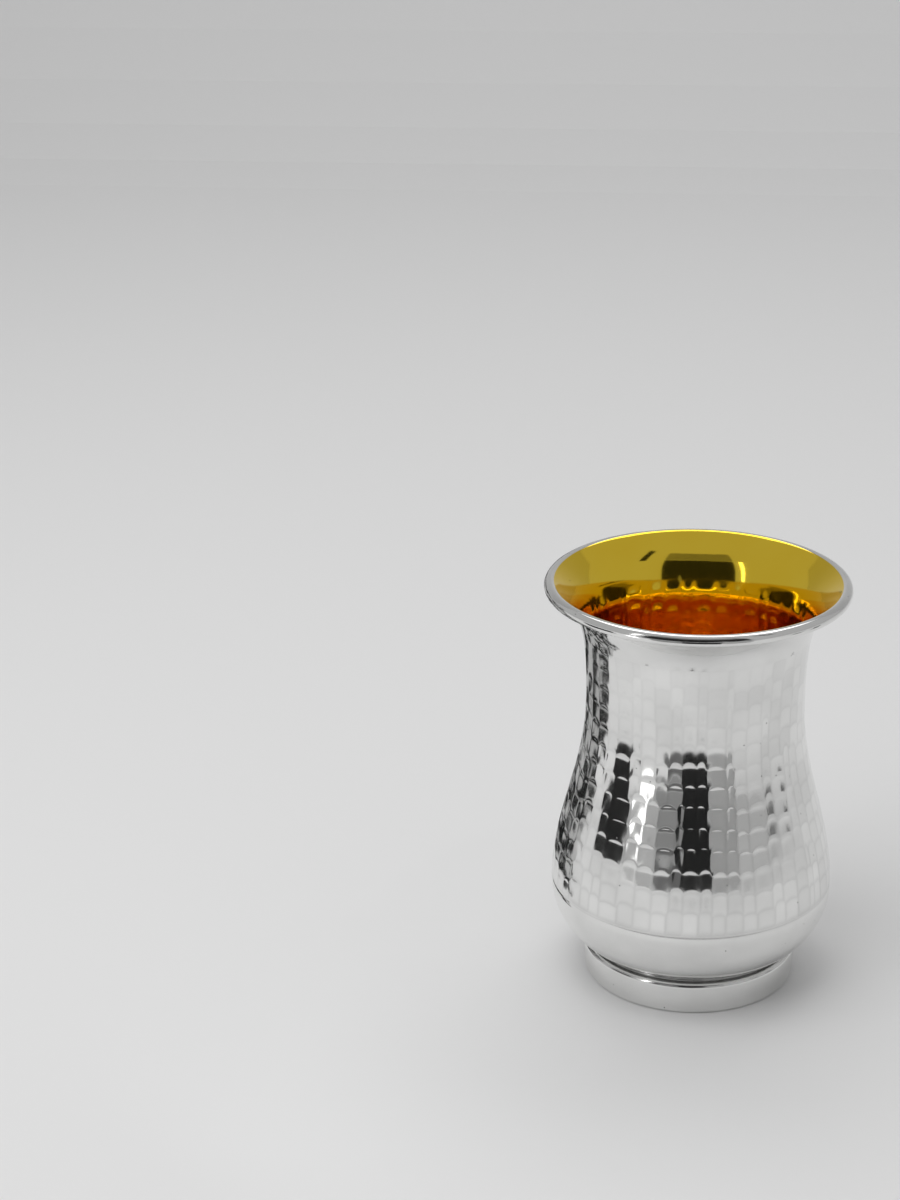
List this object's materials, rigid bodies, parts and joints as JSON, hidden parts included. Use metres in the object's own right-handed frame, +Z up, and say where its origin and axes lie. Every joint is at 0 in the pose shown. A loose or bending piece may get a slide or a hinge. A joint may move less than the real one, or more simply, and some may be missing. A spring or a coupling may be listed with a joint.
{
  "type": "kiddush cup",
  "caption": "Small hammered metal goblet with a bulbous body, flared rolled rim, gilt interior and a low round foot, for ceremonial wine.",
  "frame": {"origin": "centre of the flat underside of the foot ring, on the surface the cup stands on", "axes": "+Z up along the cup's axis, from the foot to the open lip"},
  "size_m": [0.064, 0.064, 0.09],
  "materials": {
    "hammered_silver": "mirror-polished silver plate over hammered sheet, gilt on the inside below the rolled lip",
    "plain_silver": "smooth polished silver plate with faint pits and rubbed edges"
  },
  "bodies": {
    "root": {"cup_body": "hammered_silver", "foot_ring": "plain_silver"}
  },
  "joints": []
}
